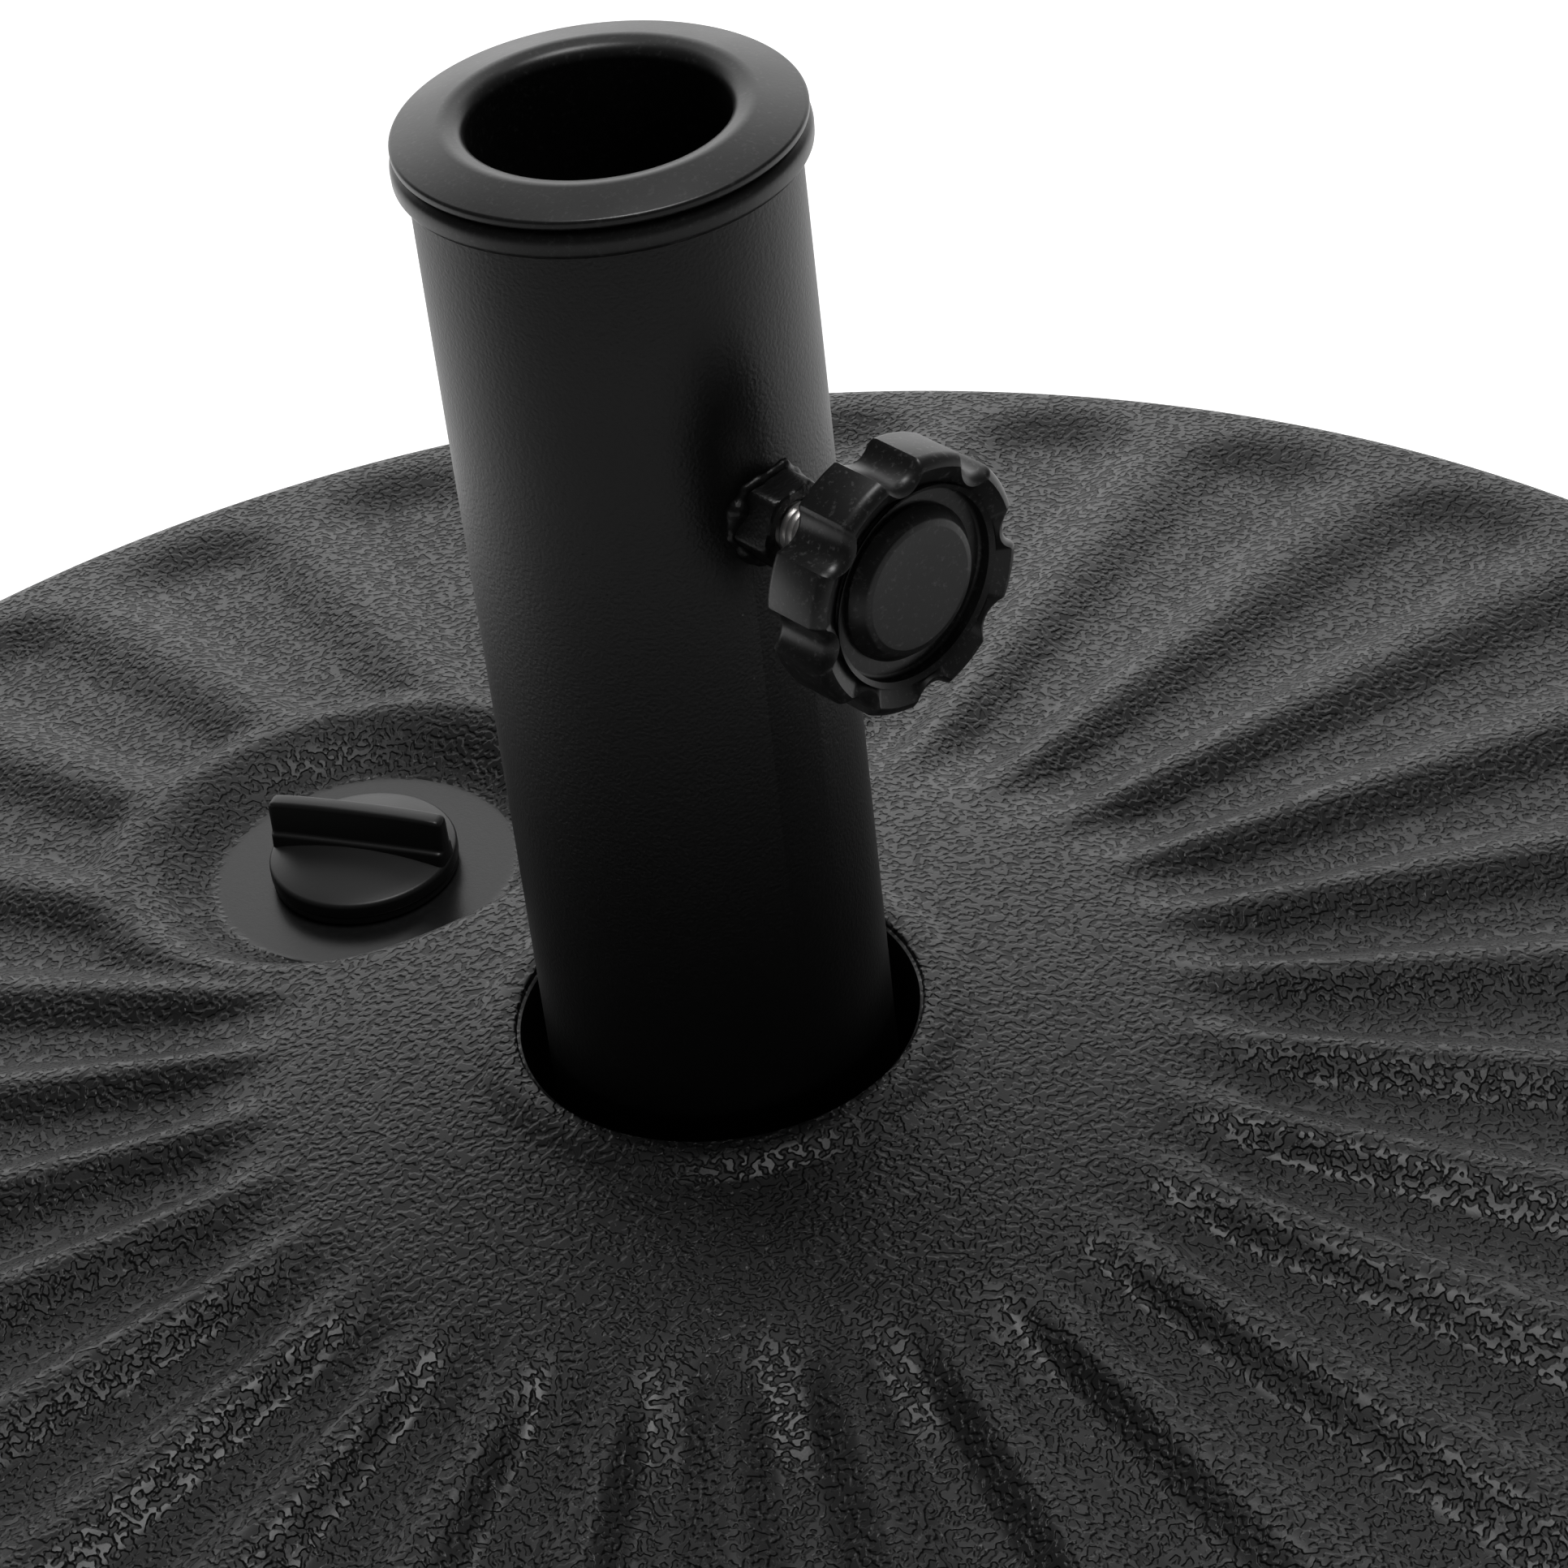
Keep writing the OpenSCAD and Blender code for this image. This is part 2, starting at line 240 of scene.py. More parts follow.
def tank_grain(points):
    """How much moulded grain each point of the tank carries: none on the land, in the well and underneath."""
    x, y, z = points[:, 0], points[:, 1], points[:, 2]
    r = np.hypot(x, y)
    grain = smooth_step((r - 33.2) / 0.8) * smooth_step((z - 6) / 3)
    return grain * smooth_step((np.hypot(x, y - FILL_Y) - LAND_R - 0.2) / 1.4)


def tank_outer_rings(columns):
    """The tank's outer skin as rings: up the well, over the top, down the side and back under the floor."""
    angle = np.arange(columns) * 2 * np.pi / columns
    first_r = 43.0
    well = rounded([(WELL_R, 20, 0), (WELL_R, HUB_Z - 1.2, 0.1), (WELL_R + 0.6, HUB_Z - 1.0, 0.1),
                    (WELL_R + 0.6, HUB_Z, 0.7), (37.0, HUB_Z, 7.0), (41.4, HUB_Z - 2.0, 3.5),
                    (first_r, smooth_top(first_r), 0)], 5)
    rest = rounded([(EDGE_R, EDGE_Z, 0), (TANK_R - 0.6, EDGE_Z - 0.9, 7.5), (TANK_R, 30, 6),
                    (TANK_R - 0.6, 6.5, 6), (TANK_R - 5.5, 0, 3), (TANK_R - 40, 0, 1.5), (TANK_R - 42, 4, 1.5),
                    (36, 4, 3), (30, 0.6, 2), (26, 0.6, 1), (26, 16, 1), (6.5, 16, 0), (6.5, 20, 0)], 6)
    radii = np.concatenate([np.arange(first_r + 1, 145, 1.25), np.arange(145, EDGE_R, 1.9)])
    rings = []
    for r, z in well:
        rings.append(np.stack([r * np.cos(angle), r * np.sin(angle), np.full(columns, z)], -1))
    for r in radii:
        x, y = r * np.cos(angle), r * np.sin(angle)
        rings.append(np.stack([x, y, tank_top(x, y)], -1))
    for r, z in rest:
        rings.append(np.stack([r * np.cos(angle), r * np.sin(angle), np.full(columns, z)], -1))
    return cut_drains(np.array(rings), angle)


def cut_drains(rings, angle):
    """Presses eight shallow drain channels across the ring that the tank stands on."""
    pitch = np.pi / 4
    off = np.abs((angle % pitch) - pitch / 2)
    r = np.hypot(rings[..., 0], rings[..., 1])
    across = r * off[None, :]
    low = (r > TANK_R - 50) & (rings[..., 2] < 2)
    rings[..., 2] += np.where(low, 2 * smooth_step((11 - across) / 3), 0)
    return rings


def tank_inner_rings(columns):
    """The hollow inside the tank, with the backing of the filling recess and the neck hanging into it."""
    angle = np.arange(columns) * 2 * np.pi / columns
    radii = np.arange(WELL_R + 3.2, TANK_R - 8, 3.0)
    rings = []
    for r in radii:
        x, y = r * np.cos(angle), r * np.sin(angle)
        roof = smooth_top(r) - 6.0
        reach = np.hypot(x, y - FILL_Y)
        dish = LAND_Z - 3.2 + (roof - LAND_Z + 3.2) * smooth_step((reach - LAND_R - 1) / 14)
        neck = smooth_step((NECK_R + 5.4 - reach) / 2.0)
        rings.append(np.stack([x, y, dish + (NECK_Z - dish) * neck], -1))
    shell = rounded([(TANK_R - 3.4, 44, 4), (TANK_R - 3.4, 12, 4), (TANK_R - 10, 3.4, 3), (TANK_R - 36, 3.4, 2),
                     (TANK_R - 46, 7.4, 2), (WELL_R + 4, 7.4, 4), (WELL_R + 3.2, 22, 3)], 3)
    for r, z in shell:
        rings.append(np.stack([r * np.cos(angle), r * np.sin(angle), np.full(columns, z)], -1))
    return np.array(rings)


def make_tank():
    outer = lofted(tank_outer_rings(FLUTES * 26), closed=True, caps=False)
    inner = lofted(tank_inner_rings(240), closed=True, caps=False)
    inner = (inner[0], [polygon[::-1] for polygon in inner[1]])
    tank = mesh_piece("tank_shell", *joined([outer, inner]), smooth_angle=40)
    bore = turned([(0.001, NECK_Z - 6), (NECK_R, NECK_Z - 6), (NECK_R, LAND_Z + 6), (0.001, LAND_Z + 6)], 96)
    cutter = mesh_piece("neck_cutter", *lofted(moved(bore, y=FILL_Y), caps=True))
    cut_with(tank, cutter)
    tank.data.set_sharp_from_angle(angle=np.radians(40))
    points = np.empty(len(tank.data.vertices) * 3, np.float32)
    tank.data.vertices.foreach_get("co", points)
    grain = tank.data.attributes.new("grain", "FLOAT", "POINT")
    grain.data.foreach_set("value", tank_grain(points.reshape(-1, 3) / MM).astype(np.float32))
    return tank


def cut_with(piece, cutter):
    """Takes the cutter's shape out of the piece, for good, and removes the cutter."""
    change = piece.modifiers.new("cut", "BOOLEAN")
    change.operation = "DIFFERENCE"
    change.solver = "EXACT"
    change.object = cutter
    graph = bpy.context.evaluated_depsgraph_get()
    made = bpy.data.meshes.new_from_object(piece.evaluated_get(graph))
    piece.modifiers.clear()
    piece.data = made
    bpy.data.objects.remove(cutter)


# ---------------------------------------------------------------- filling plug
def make_plug():
    low, top = SEAL_HIGH[2] + 0.2, LAND_Z + 4.5
    stem_z = PLUG_LOW[2]
    dome = [(r, top + 2.2 * (1 - (r / PLUG_R) ** 2), 0) for r in (14, 11, 8, 4, 0.001)]
    cap = rounded([(11.5, stem_z + 13, 0.6), (11.5, stem_z, 0.4), (13.2, stem_z, 0.5), (13.2, low, 0.4),
                   (PLUG_R, low, 0.5), (PLUG_R, top, 0.9)] + dome + [(0.001, stem_z + 13, 0)])
    body = lofted(turned(cap, 128), closed=True, caps=False)
    fin = fin_mesh(top - 0.6, PLUG_HIGH[2])
    thread = helix_band(13.1, 0.85, 4.0, 1.5, stem_z + 1.2, stem_z + 11.2, 96)
    c, s = np.cos(FIN_ANGLE), np.sin(FIN_ANGLE)
    turn = np.array([[c, -s, 0], [s, c, 0], [0, 0, 1]])
    fin = (fin[0] @ turn.T, fin[1])
    verts, faces = joined([body, fin, thread])
    return mesh_piece("filling_plug", moved(verts, y=FILL_Y), faces, smooth_angle=40)


def fin_mesh(low, high):
    """The finger fin: a thin upright wall across the cap, with a ledge at its foot and soft edges, its top a
    little arched."""
    reach = PLUG_R - 0.25
    stations = np.linspace(-1, 1, 33)
    rings = []
    section = rounded([(-3.0, 0, 0), (-2.7, 3.0, 0.5), (-1.9, 3.3, 0.5), (-1.65, 9, 0.7), (1.65, 9, 0.7),
                       (1.9, 3.3, 0.5), (2.7, 3.0, 0.5), (3.0, 0, 0)], 4)
    for s in stations:
        x = reach * np.sin(s * np.pi / 2)
        edge = min(1.0, (reach - abs(x)) / 0.8 + 0.35)
        width = section[:, 0]
        span_y = np.sqrt(max(reach ** 2 - x ** 2, 0.0)) + 0.9
        y = np.clip(width, -span_y, span_y) * (0.6 + 0.4 * edge)
        z = low + section[:, 1] / 9 * (high - low - 0.9 * s * s - (1 - edge) * 0.8)
        rings.append(np.stack([np.full(len(y), x), y, z], -1))
    return lofted(rings, caps=True)


def helix_band(radius, height, pitch, width, low, high, segments):
    """A thread ridge of trapezoid section, wound right-handed round +Z, faded out at both ends."""
    turns = (high - low - width) / pitch
    count = int(turns * segments)
    rings = []
    for i in range(count + 1):
        t = i / segments
        fade = smooth_step(min(i, count - i) / (segments / 8))
        a, z = 2 * np.pi * t, low + width / 2 + pitch * t
        out = radius + height * fade + 0.02
        section = [(radius - 0.3, -width / 2), (out, -width / 6), (out, width / 6), (radius - 0.3, width / 2)]
        rings.append([[r * np.cos(a), r * np.sin(a), z + h] for r, h in section])
    return lofted(rings, caps=True)


def make_seal():
    low, high = SEAL_LOW[2], SEAL_HIGH[2]
    corners = [(14.4, low, 0.3), (PLUG_R - 0.2, low, 0.4), (PLUG_R - 0.2, high, 0.4), (14.4, high, 0.3)]
    return turned_piece("plug_gasket", corners, 96, lambda points: moved(points, y=FILL_Y))


# ---------------------------------------------------------------- tube, collar, reducer
def make_tube():
    low, high = TUBE_LOW[2], TUBE_HIGH[2]
    corners = [(TUBE_IN_R, low, 0.3), (TUBE_R, low, 0.3), (TUBE_R, high, 0.3), (TUBE_IN_R, high, 0.3)]
    profile = rounded(corners, 3)
    tube = mesh_piece("clamp_tube", *lofted(turned(profile, 160), closed=True, caps=False))
    hole = turned([(0.001, 0), (4.5, 0), (4.5, 8), (0.001, 8)], 48)
    cutter = mesh_piece("hole_cutter", *lofted(on_clamp_axis(hole, TUBE_IN_R - 3), caps=True))
    cut_with(tube, cutter)
    tube.data.set_sharp_from_angle(angle=np.radians(35))
    return tube


def make_collar():
    low, high = COLLAR_HIGH[2] - 4.2, COLLAR_HIGH[2]
    skirt = COLLAR_LOW[2]
    outer = COLLAR_HIGH[0]
    tube_end = TUBE_HIGH[2]
    corners = [(TUBE_R, low, 0), (outer - 0.1, low, 1.0), (outer, high, 1.9), (25.2, high, 0.5),
               (25.2, skirt, 0.4), (TUBE_IN_R, skirt, 0.4), (TUBE_IN_R, tube_end, 0), (TUBE_R, tube_end, 0)]
    return turned_piece("tube_end_collar", corners, 160)


def make_reducer():
    low, high = REDUCER_LOW[2], REDUCER_HIGH[2]
    flange = COLLAR_HIGH[2] + 0.4
    outer = REDUCER_HIGH[0]
    corners = [(POLE_R, low, 0.6), (21.4, low, 0.6), (21.4, flange, 0.8), (outer, flange, 0.5),
               (outer, flange + 1.4, 0.6), (22.6, high, 3.0), (POLE_R, high - 0.9, 2.2)]
    sleeve = lofted(turned(rounded(corners, 7), 160), closed=True, caps=False)
    ribs = []
    for i in range(8):
        section = rounded([(20.9, -0.9, 0), (24.9, -0.8, 0.4), (24.9, 0.8, 0.4), (20.9, 0.9, 0)], 3)
        a = i * np.pi / 4
        c, s = np.cos(a), np.sin(a)
        flat = np.stack([section[:, 0] * c - section[:, 1] * s, section[:, 0] * s + section[:, 1] * c], -1)
        rings = [np.column_stack([flat, np.full(len(flat), z)]) for z in (low + 2, flange + 0.3)]
        ribs.append(lofted(rings, caps=True))
    return mesh_piece("pole_reducer", *joined([sleeve] + ribs), smooth_angle=40)


# ---------------------------------------------------------------- hexagons, threads and washers
def hexagon(angle, flats, soft=0.25):
    """Distance from the middle to the edge of a hexagon with slightly rounded corners."""
    off = (angle % (np.pi / 3)) - np.pi / 6
    edge = flats / 2 / np.cos(off)
    corner = flats / np.sqrt(3) - soft
    return np.minimum(edge, corner + soft * np.exp(-np.maximum(edge - corner, 0) / soft) * 0.5)


def hex_rings(flats, stations, segments=96):
    """Rings of a hexagon bar whose corners are cut back to a radius at each (height, radius) station."""
    angle = np.arange(segments) * 2 * np.pi / segments
    rings = []
    for z, limit in stations:
        r = np.minimum(hexagon(angle, flats), limit)
        rings.append(np.stack([r * np.cos(angle), r * np.sin(angle), np.full(segments, z)], -1))
    return np.array(rings)


def hex_nut_rings(flats, height, bore):
    """A closed skin of a nut: outside with both chamfers, and its bore."""
    big = flats * 0.62
    outside = [(0, flats * 0.47), (0.3, flats * 0.49), (flats * 0.07, big), (height / 2, big),
               (height - flats * 0.07, big), (height - 0.3, flats * 0.49), (height, flats * 0.47)]
    rings = list(hex_rings(flats, outside))
    inside = turned([(bore + 0.5, height), (bore, height - 0.5), (bore, 0.5), (bore + 0.5, 0)], 96)
    return np.array(rings + list(inside))


def screw_mesh(radius, depth, pitch, low, high, segments=48):
    """A threaded rod: an upright strip wound round +Z, ends trimmed flat by clamping the heights."""
    profile = [(0.04, 0.0), (0.42, 1.0), (0.58, 1.0), (0.96, 0.0)]
    first = int(np.floor(low / pitch)) - 1
    last = int(np.ceil(high / pitch)) + 1
    verts, faces, index = [], [], {}
    for turn in range(first, last):
        for k, (at, cut) in enumerate(profile):
            for j in range(segments + 1):
                z = (turn + at + j / segments) * pitch
                lead = smooth_step((min(z - low, high - z)) / (0.8 * pitch))
                r = radius - depth * (cut * lead + (1 - lead))
                a = 2 * np.pi * j / segments
                index[(turn, k, j)] = len(verts)
                verts.append((r * np.cos(a), r * np.sin(a), min(max(z, low), high)))
    rows = [(turn, k) for turn in range(first, last) for k in range(len(profile))]
    for (t1, k1), (t2, k2) in zip(rows, rows[1:]):
        for j in range(segments):
            faces.append((index[(t1, k1, j)], index[(t1, k1, j + 1)], index[(t2, k2, j + 1)], index[(t2, k2, j)]))
    return np.array(verts), faces


# ---------------------------------------------------------------- clamp
def make_clamp_nut():
    """The welded nut: a hexagon with a chamfered front, a countersunk hole and a weld bead around its foot."""
    height, bore = -NUT_LOW[1] - TUBE_R, 4.05
    angle = np.arange(120) * 2 * np.pi / 120
    body = hexagon(angle - np.radians(NUT_TURN), 13.0)
    rings = []
    for z, limit in [(-1.2, 7.4), (height - 0.7, 7.4), (height - 0.25, 6.9), (height, 6.3)]:
        r = np.minimum(body, limit)
        rings.append(np.stack([r * np.cos(angle), r * np.sin(angle), np.full(120, z)], -1))
    rings += list(turned([(bore + 1.1, height), (bore, height - 1.1), (bore, -0.8), (bore + 0.2, -1.2)], 120))
    nut = lofted(rings, closed=True, caps=False)
    verts, faces = joined([nut, weld_bead(angle, np.minimum(body, 7.4))])
    return mesh_piece("welded_clamp_nut", on_clamp_axis(verts, TUBE_R), faces, smooth_angle=40)


def weld_bead(angle, path):
    """A closed bead of weld that follows the nut's foot over the curve of the tube, thicker in three places."""
    size = 1.0 + 0.14 * np.sin(7 * angle + 0.6) + 0.08 * np.sin(17 * angle + 2.1)
    for at, extra in ((150, 1.3), (222, 0.5), (35, 0.4)):
        off = (angle - np.radians(at) + np.pi) % (2 * np.pi) - np.pi
        size = size + extra * np.exp(-(off / 0.24) ** 2)
    turn = np.arange(14) * 2 * np.pi / 14
    out = path[:, None] + size[:, None] * np.cos(turn)
    foot = np.sqrt(TUBE_R ** 2 - (path * np.cos(angle)) ** 2) - TUBE_R
    z = foot[:, None] + size[:, None] * 0.9 * np.sin(turn)
    rings = np.stack([out * np.cos(angle)[:, None], out * np.sin(angle)[:, None], z], -1)
    return lofted(rings, closed=True, caps=False)


def make_clamp_screw():
    low, high = -SCREW_HIGH[1], -SCREW_LOW[1]
    shank_end = -KNOB_HIGH[1] + 3
    rod = screw_mesh(4.0, 0.72, 1.25, low, shank_end)
    tip = lofted(turned([(3.3, low + 0.02), (1.75, low), (1.75, low + 5.0), (0.001, low + 5.0)], 48), caps=True)
    core = lofted(turned([(0.001, low + 5.2), (3.2, low + 0.05), (3.2, shank_end), (0.001, shank_end)], 48),
                  caps=True)
    head = lofted(hex_rings(13.0, [(high - 5.3, 7.2), (high - 0.6, 7.2), (high, 6.3)]), caps=True)
    verts, faces = joined([rod, tip, core, head])
    return mesh_piece("clamp_screw_threaded", on_clamp_axis(verts, 0), faces, smooth_angle=30)


def make_clamp_tip():
    low, high = -TIP_HIGH[1], -TIP_LOW[1]
    head_high = low + 2.3
    corners = [(0.001, low, 0), (3.1, low, 0.6), (3.1, head_high, 0.2), (1.6, head_high, 0.1), (1.6, high, 0.3),
               (0.001, high, 0)]
    return turned_piece("nylon_screw_tip", corners, 64, lambda points: on_clamp_axis(points, 0), closed=False)


def knob_outline(angle, radius):
    """Edge of the knob at an angle: eight round notches between broad lobes with soft corners."""
    pitch = np.pi / 4
    start = np.radians(KNOB_NOTCH_TURN)
    off = ((angle - start + pitch / 2) % pitch) - pitch / 2
    centre, notch = radius - 2.3 + 4.0, 4.0
    across = np.clip(centre * np.sin(off), -notch, notch)
    dent = centre * np.cos(off) - np.sqrt(np.maximum(notch ** 2 - across ** 2, 0))
    dent = np.where(np.abs(centre * np.sin(off)) >= notch, radius + 5, dent)
    soft = 0.35
    return -soft * np.log(np.exp(-dent / soft) + np.exp(-radius / soft))


def make_knob():
    back, front = -KNOB_HIGH[1], -KNOB_LOW[1]
    angle = np.arange(384) * 2 * np.pi / 384
    edge = knob_outline(angle, KNOB_R - 0.02)
    rim = 15.3
    outside = [(3.9, 0.2), (1.6, 0.0), (0.7, 0.15), (0.2, 0.6), (0.0, 1.3), (0.0, 5.5), (0.0, 9.2),
               (0.15, 9.8), (0.55, 10.4), (1.15, 10.85), (1.7, 11.0)]
    rings = []
    for inset, z in [(o, h / 11 * (front - back)) for o, h in outside]:
        r = edge - inset
        rings.append(np.stack([r * np.cos(angle), r * np.sin(angle), z + back + 0 * angle], -1))
    dish = rounded([(rim + 0.9, front, 0.4), (rim, front - 0.6, 0.5), (rim - 0.6, front - 3, 0.6),
                    (7.3, front - 3, 0.2), (7.3, back + 2.6, 0.1), (4.05, back + 2.6, 0), (4.05, back + 0.3, 0.2),
                    (9.5, back + 0.1, 0.2)], 4)
    rings += list(turned(dish, 384))
    verts, faces = lofted(rings, closed=True, caps=False)
    return mesh_piece("star_knob", on_clamp_axis(verts, 0), faces, smooth_angle=35)


def make_knob_cap():
    low, high = -CAP_HIGH[1], -CAP_LOW[1]
    corners = [(0.001, low, 0), (12.0, low, 0), (12.0, low + 0.7, 0.3), (10.4, high - 0.25, 0.7),
               (9.4, high, 0.8), (6.0, high, 0), (0.001, high, 0)]
    return turned_piece("knob_centre_cap", corners, 128, lambda points: on_clamp_axis(points, 0), closed=False)


# ---------------------------------------------------------------- fixing from below
def make_foot_plate():
    low, high = FOOT_LOW[2], FOOT_HIGH[2]
    return turned_piece("tube_foot_plate", [(6.5, low, 0.3), (TUBE_IN_R, low, 0.4), (TUBE_IN_R, high, 0.4),
                                            (6.5, high, 0.3)], 96)


def make_foot_nut():
    rings = hex_nut_rings(19.0, FOOT_NUT_HIGH[2] - FOOT_NUT_LOW[2], 6.05)
    verts, faces = lofted(rings, closed=True, caps=False)
    return mesh_piece("foot_weld_nut", moved(verts, z=FOOT_NUT_LOW[2]), faces)


def make_fixing_washer():
    low, high = WASHER_LOW[2], WASHER_HIGH[2]
    outer = WASHER_HIGH[0]
    corners = [(6.5, low, 0.3), (outer, low, 0.7), (outer, high, 0.3), (6.5, high, 0.3)]
    return turned_piece("large_washer", corners, 96)


def make_spring_washer():
    """A split ring whose two ends stand a little apart."""
    low, high = SPRING_LOW[2], SPRING_HIGH[2]
    outer = SPRING_HIGH[0]
    section = rounded([(6.2, 0, 0.3), (outer, 0, 0.3), (outer, high - low, 0.3), (6.2, high - low, 0.3)], 3)
    gap = 0.07
    rings = []
    for a in np.linspace(gap, 2 * np.pi - gap, 72):
        rings.append([[r * np.cos(a), r * np.sin(a), low + z] for r, z in section])
    return mesh_piece("split_washer", *lofted(rings, caps=True))


def make_fixing_bolt():
    low = BOLT_LOW[2]
    head_top = SPRING_LOW[2]
    stations = [(low, 8.6), (low + 0.9, 10.6), (head_top - 0.3, 10.6), (head_top, 9.2)]
    head = lofted(hex_rings(19.0, stations), caps=True)
    rod = screw_mesh(6.0, 0.95, 1.75, head_top + 6, BOLT_HIGH[2])
    core = lofted(turned([(0.001, head_top - 1), (5.05, head_top - 1), (5.05, BOLT_HIGH[2] - 0.05),
                          (0.001, BOLT_HIGH[2] - 0.05)], 64), caps=True)
    shank = lofted(turned([(0.001, head_top - 0.5), (5.95, head_top - 0.5), (5.95, head_top + 6.4),
                           (0.001, head_top + 6.4)], 64), caps=True)
    return mesh_piece("fixing_bolt_hex", *joined([head, rod, core, shank]))


# ---------------------------------------------------------------- materials
class Shader:
    """A material with a Principled shader, built from nodes that are chained by passing sockets as inputs."""

    def __init__(self, name):
        self.material = bpy.data.materials.new(name)
        self.material.use_nodes = True
        self.tree = self.material.node_tree
        self.shader = self.tree.nodes["Principled BSDF"]
        self.place = self.node("ShaderNodeTexCoord").outputs["Object"]

    def node(self, kind, inputs=None, **settings):
        made = self.tree.nodes.new(kind)
        for key, value in settings.items():
            setattr(made, key, value)
        for key, value in (inputs or {}).items():
            self.put(made.inputs[key], value)
        return made

    def put(self, socket, value):
        if isinstance(value, bpy.types.NodeSocket):
            self.tree.links.new(value, socket)
        else:
            socket.default_value = value

    def set(self, **values):
        for key, value in values.items():
            self.put(self.shader.inputs[key.replace("_", " ")], value)

    def noise(self, scale, detail=2.0, vector=None, rough=0.5, output="Fac"):
        return self.node("ShaderNodeTexNoise", {"Vector": vector or self.place, "Scale": scale, "Detail": detail,
                                                "Roughness": rough}).outputs[output]

    def span(self, value, low, high, to_low=0.0, to_high=1.0, smooth=False):
        kind = "SMOOTHSTEP" if smooth else "LINEAR"
        return self.node("ShaderNodeMapRange", {"Value": value, "From Min": low, "From Max": high,
                                                "To Min": to_low, "To Max": to_high},
                         interpolation_type=kind).outputs["Result"]

    def math(self, operation, a, b):
        return self.node("ShaderNodeMath", {0: a, 1: b}, operation=operation).outputs[0]

    def mix(self, share, a, b):
        made = self.node("ShaderNodeMix", {"Factor": share}, data_type="RGBA")
        colours = [socket for socket in made.inputs if socket.type == "RGBA"]
        self.put(colours[0], a)
        self.put(colours[1], b)
        return [socket for socket in made.outputs if socket.type == "RGBA"][0]

    def warped(self, scale, reach):
        """The place, pushed about by noise."""
        push = self.noise(scale, 2.0, output="Color")
        centred = self.node("ShaderNodeVectorMath", {0: push, 1: (0.5, 0.5, 0.5)}, operation="SUBTRACT").outputs[0]
        scaled = self.node("ShaderNodeVectorMath", {0: centred, "Scale": reach}, operation="SCALE").outputs[0]
        return self.node("ShaderNodeVectorMath", {0: self.place, 1: scaled}, operation="ADD").outputs[0]

    def bump(self, height, distance, strength=1.0):
        self.set(Normal=self.node("ShaderNodeBump", {"Height": height, "Distance": distance,
                                                     "Strength": strength}).outputs["Normal"])


def grey(value, tint=0.0):
    return (value, value * (1 + tint * 0.5), value * (1 + tint), 1.0)


def tank_plastic():
    """Black blow-moulded plastic with leather grain: short pits between worm-like ridges that are rubbed shiny,
    the pits darkened with painted shade.
    """
    m = Shader("grained_black_plastic")
    grain = m.node("ShaderNodeAttribute", attribute_name="grain").outputs["Fac"]
    worms = m.noise(900.0, 0.4, vector=m.warped(300.0, 0.0010))
    ridge = m.span(worms, 0.36, 0.58, smooth=True)
    fine = m.noise(2400.0, 3.0)
    height = m.math("ADD", m.math("MULTIPLY", ridge, grain), m.math("MULTIPLY", fine, 0.05))
    m.bump(height, 0.00032)
    patch = m.noise(9.0, 3.0)
    # painted shade: the pits get a far darker colour than the ridges and the smooth land, standing in for the
    # shade inside them
    painted_pit_shade = m.mix(patch, grey(0.002), grey(0.003))
    light = m.mix(patch, grey(0.008, 0.02), grey(0.012, 0.02))
    outside_pit_shade = m.math("MAXIMUM", ridge, m.span(grain, 0.0, 1.0, 0.75, 0.0))
    dust = m.span(m.node("ShaderNodeTexVoronoi", {"Vector": m.place, "Scale": 95.0}).outputs["Distance"],
                  0.018, 0.030, 1.0, 0.0)
    m.set(Base_Color=m.mix(dust, m.mix(outside_pit_shade, painted_pit_shade, light), grey(0.22)))
    shine = m.math("MULTIPLY", m.span(ridge, 0.0, 1.0, 0.30, 0.13), grain)
    rough = m.math("ADD", m.math("ADD", shine, 0.26), m.span(patch, 0.3, 0.7, -0.03, 0.04))
    m.set(Roughness=rough)
    return m.material


def smooth_plastic(name, colour, roughness, speck=0.0):
    """Plain moulded plastic with faint flow marks, and finger marks in the gloss."""
    m = Shader(name)
    flow = m.noise(35.0, 4.0)
    fine = m.noise(1500.0, 2.0)
    m.bump(m.math("ADD", m.math("MULTIPLY", flow, 0.4), m.math("MULTIPLY", fine, 0.6)), 0.00003, 0.7)
    tone = m.mix(flow, grey(colour * 0.8), grey(colour * 1.2))
    if speck:
        marks = m.span(m.noise(1100.0, 3.0, vector=m.warped(60.0, 0.004), rough=0.7), 0.56, 0.74)
        tone = m.mix(m.math("MULTIPLY", marks, speck), tone, grey(0.14))
    m.set(Base_Color=tone, Roughness=m.span(flow, 0.3, 0.7, roughness - 0.05, roughness + 0.06))
    return m.material


def powder_coat():
    """Black powder coat on steel, with fine orange peel."""
    m = Shader("black_powder_coat")
    peel = m.noise(1700.0, 1.0, rough=0.45)
    m.bump(peel, 0.00007, 1.0)
    patch = m.noise(14.0, 3.0)
    dust = m.span(m.node("ShaderNodeTexVoronoi", {"Vector": m.place, "Scale": 130.0}).outputs["Distance"],
                  0.016, 0.026, 1.0, 0.0)
    m.set(Base_Color=m.mix(dust, m.mix(patch, grey(0.004), grey(0.006)), grey(0.12)),
          Roughness=m.span(patch, 0.3, 0.7, 0.36, 0.44))
    return m.material


def bright_zinc(name="bright_zinc", colour=0.85, roughness=0.32):
    """Zinc-plated steel with faint yellowish clouding."""
    m = Shader(name)
    cloud = m.noise(220.0, 3.0)
    m.bump(m.noise(2600.0, 2.0), 0.00001, 0.5)
    m.set(Metallic=1.0, Base_Color=m.mix(cloud, grey(colour * 0.82, -0.05), grey(colour, -0.02)),
          Roughness=m.span(cloud, 0.3, 0.7, roughness - 0.06, roughness + 0.1))
    return m.material


